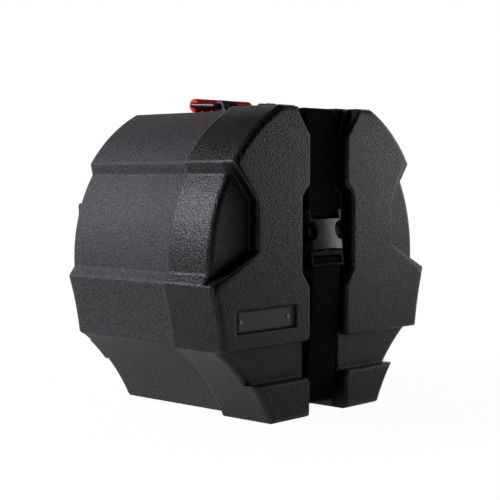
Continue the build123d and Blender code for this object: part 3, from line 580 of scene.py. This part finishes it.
# Straps, in place of their plain solids
strap(
    "strap_over_base", "strap_rear_loop", "base",
    [
        (BASE_STRAP_START, BASE_STRAP_TOP),
        (REAR_STRAP_DEPTH, BASE_STRAP_TOP),
        (REAR_STRAP_DEPTH, BASE_STRAP_BOTTOM),
        (BASE_STRAP_START, BASE_STRAP_BOTTOM),
    ],
    [REAR_BEND, REAR_BEND],
)
strap(
    "strap_above_buckle", "strap_upper_front", "lid",
    [
        (LID_DEPTH + STRAP_OVERRUN, LID_STRAP_TOP),
        (FRONT_BEND_DEPTH, LID_STRAP_TOP),
        (TOP_CORNER_DEPTH, LID_STRAP_HIGH),
        in_buckle(CROSS_BAR_BOTTOM - LOOP_ROOM - HALF_STRAP, STRAP_FRONT),
        in_buckle(CROSS_BAR_BOTTOM - LOOP_ROOM - HALF_STRAP, STRAP_BEHIND),
        in_buckle(ARM_TOP + LOOP_ROOM, STRAP_BEHIND),
        in_buckle(SEWN_END, SEWN_LAYER),
    ],
    [FRONT_BEND, FRONT_BEND, LOOP_BEND, LOOP_BEND, FRONT_BEND],
)
strap(
    "strap_below_buckle", "strap_lower_front", "lid",
    [
        in_buckle(MALE_BOTTOM + LOOP_ROOM, STRAP_BEHIND),
        in_buckle(SLIDE_BAR_TOP + LOOP_ROOM, STRAP_BEHIND),
        in_buckle(SLIDE_BAR_TOP + LOOP_ROOM, STRAP_FRONT),
        in_buckle(MALE_BOTTOM - HALF_STRAP, STRAP_FRONT),
        (LOW_CORNER_DEPTH, LID_STRAP_BOTTOM),
        (LID_DEPTH + STRAP_OVERRUN, LID_STRAP_BOTTOM),
    ],
    [LOOP_BEND, LOOP_BEND, FRONT_BEND, LOW_BEND],
)

# Foam lining
foam_piece("foam_round_drum", "base_foam_ring", "base")
foam_piece("foam_at_rear", "base_foam_pad", "base")
foam_piece("foam_in_lid", "lid_foam_pad", "lid")


def lamp(name, place, target, size, power, colour):
    """Square soft light that faces a target."""
    data = bpy.data.lights.new(name, "AREA")
    data.shape = "SQUARE"
    data.size = size
    data.energy = power
    data.color = colour
    light = bpy.data.objects.new(name, data)
    bpy.context.collection.objects.link(light)
    light.visible_camera = False
    light.location = place
    light.rotation_euler = (Vector(target) - Vector(place)).to_track_quat("-Z", "Y").to_euler()


def combine(tree, operation, first, second):
    """Math node on two sockets of a shader tree."""
    both = tree.nodes.new("ShaderNodeMath")
    both.operation = operation
    tree.links.new(first, both.inputs[0])
    tree.links.new(second, both.inputs[1])
    return both.outputs[0]


def seen_as_white(tree, camera_share=None, mirror_share=None):
    """Share of white for what the camera, a reflection or a clear part shows of floor and room."""
    path = tree.nodes.new("ShaderNodeLightPath")
    seen = path.outputs["Is Camera Ray"]
    mirrored = combine(
        tree, "MAXIMUM", path.outputs["Is Glossy Ray"], path.outputs["Is Transmission Ray"]
    )
    if camera_share:
        seen = combine(tree, "MULTIPLY", seen, camera_share)
        mirrored = combine(tree, "MULTIPLY", mirrored, mirror_share)
    return combine(tree, "MAXIMUM", seen, mirrored)


def fade_out(tree, distance, limits):
    """Share that rises to one with distance from the case: its start, its end and its first value."""
    fade = tree.nodes.new("ShaderNodeMapRange")
    for key, value in zip(("From Min", "From Max", "To Min"), limits):
        fade.inputs[key].default_value = value
    tree.links.new(distance, fade.inputs["Value"])
    return fade.outputs["Result"]


def pale_ground():
    """Large pale floor that shows white and keeps the case's soft shadow."""
    bm = bmesh.new()
    bmesh.ops.create_grid(bm, x_segments=1, y_segments=1, size=FLOOR_REACH)
    floor = to_object(bm, "floor")
    material = bpy.data.materials.new("floor_white")
    material.use_nodes = True
    tree = material.node_tree
    tree.nodes.clear()
    output = tree.nodes.new("ShaderNodeOutputMaterial")
    mix = tree.nodes.new("ShaderNodeMixShader")
    diffuse = tree.nodes.new("ShaderNodeBsdfDiffuse")
    glow = tree.nodes.new("ShaderNodeEmission")
    place = tree.nodes.new("ShaderNodeTexCoord")
    reach = tree.nodes.new("ShaderNodeVectorMath")
    diffuse.inputs["Color"].default_value = (FLOOR_GREY, FLOOR_GREY, FLOOR_GREY, 1)
    glow.inputs["Strength"].default_value = FLOOR_GLOW
    reach.operation = "LENGTH"
    tree.links.new(place.outputs["Object"], reach.inputs[0])
    distance = reach.outputs["Value"]
    share = seen_as_white(
        tree, fade_out(tree, distance, FLOOR_FADE), fade_out(tree, distance, MIRRORED_FADE)
    )
    tree.links.new(share, mix.inputs[0])
    tree.links.new(diffuse.outputs[0], mix.inputs[1])
    tree.links.new(glow.outputs[0], mix.inputs[2])
    tree.links.new(mix.outputs[0], output.inputs["Surface"])
    floor.data.materials.append(material)


def white_world(strength):
    """Even room: white where it is seen, dim where it lights the case."""
    world = bpy.data.worlds.new("white_room")
    bpy.context.scene.world = world
    world.use_nodes = True
    tree = world.node_tree
    tree.nodes.clear()
    output = tree.nodes.new("ShaderNodeOutputWorld")
    mix = tree.nodes.new("ShaderNodeMixShader")
    dim = tree.nodes.new("ShaderNodeBackground")
    white = tree.nodes.new("ShaderNodeBackground")
    for background, light in ((dim, strength), (white, 1.0)):
        background.inputs["Color"].default_value = WHITE
        background.inputs["Strength"].default_value = light
    tree.links.new(seen_as_white(tree), mix.inputs[0])
    tree.links.new(dim.outputs[0], mix.inputs[1])
    tree.links.new(white.outputs[0], mix.inputs[2])
    tree.links.new(mix.outputs[0], output.inputs["Surface"])


def is_open(place):
    """Whether a tent panel is left out: the floor under it, and the wall behind the case."""
    behind = place.x * sin(CAMERA_YAW) + place.y * cos(CAMERA_YAW) > TENT_OPENING
    return place.z < MM or (behind and place.z < TENT_HEIGHT - MM)


def dark_tent():
    """Black cloth round and over the room, open behind the case: it darkens reflections, unseen."""
    bm = bmesh.new()
    bmesh.ops.create_cone(
        bm, cap_ends=True, cap_tris=True, segments=TENT_SIDES, radius1=TENT_RADIUS,
        radius2=TENT_RADIUS, depth=TENT_HEIGHT,
    )
    bmesh.ops.translate(bm, verts=bm.verts, vec=(0, 0, TENT_HEIGHT / 2))
    spare = [f for f in bm.faces if is_open(f.calc_center_median())]
    bmesh.ops.delete(bm, geom=spare, context="FACES")
    tent = to_object(bm, "dark_tent")
    material = bpy.data.materials.new("cloth_black")
    material.use_nodes = True
    shader = material.node_tree.nodes["Principled BSDF"]
    shader.inputs["Base Color"].default_value = (TENT_GREY, TENT_GREY, TENT_GREY, 1)
    shader.inputs["Roughness"].default_value = 1.0
    shader.inputs["Specular IOR Level"].default_value = 0.0
    tent.data.materials.append(material)
    tent.visible_camera = False
    tent.visible_diffuse = False
    tent.visible_shadow = False


# Studio
pale_ground()
white_world(WORLD_LIGHT)
dark_tent()
lamp(
    "left_softbox",
    place=(-1.8, 1.4, 1.4),
    target=(-0.15, 0.0, 0.2),
    size=0.62,
    power=74,
    colour=(0.94, 0.88, 1.0),
)
lamp(
    "front_right_softbox",
    place=(0.72, -0.42, 0.33),
    target=(0.05, -0.1, 0.18),
    size=0.3,
    power=0.8,
    colour=(0.98, 0.94, 1.0),
)

# Camera
camera_data = bpy.data.cameras.new("camera")
camera_data.lens = CAMERA_LENS
camera_data.sensor_width = SENSOR_WIDTH
camera = bpy.data.objects.new("camera", camera_data)
bpy.context.collection.objects.link(camera)
camera.location = CAMERA_PLACE
camera.rotation_euler = (pi / 2 + CAMERA_PITCH, 0, -CAMERA_YAW)
bpy.context.scene.camera = camera
bpy.context.scene.view_settings.view_transform = "Standard"
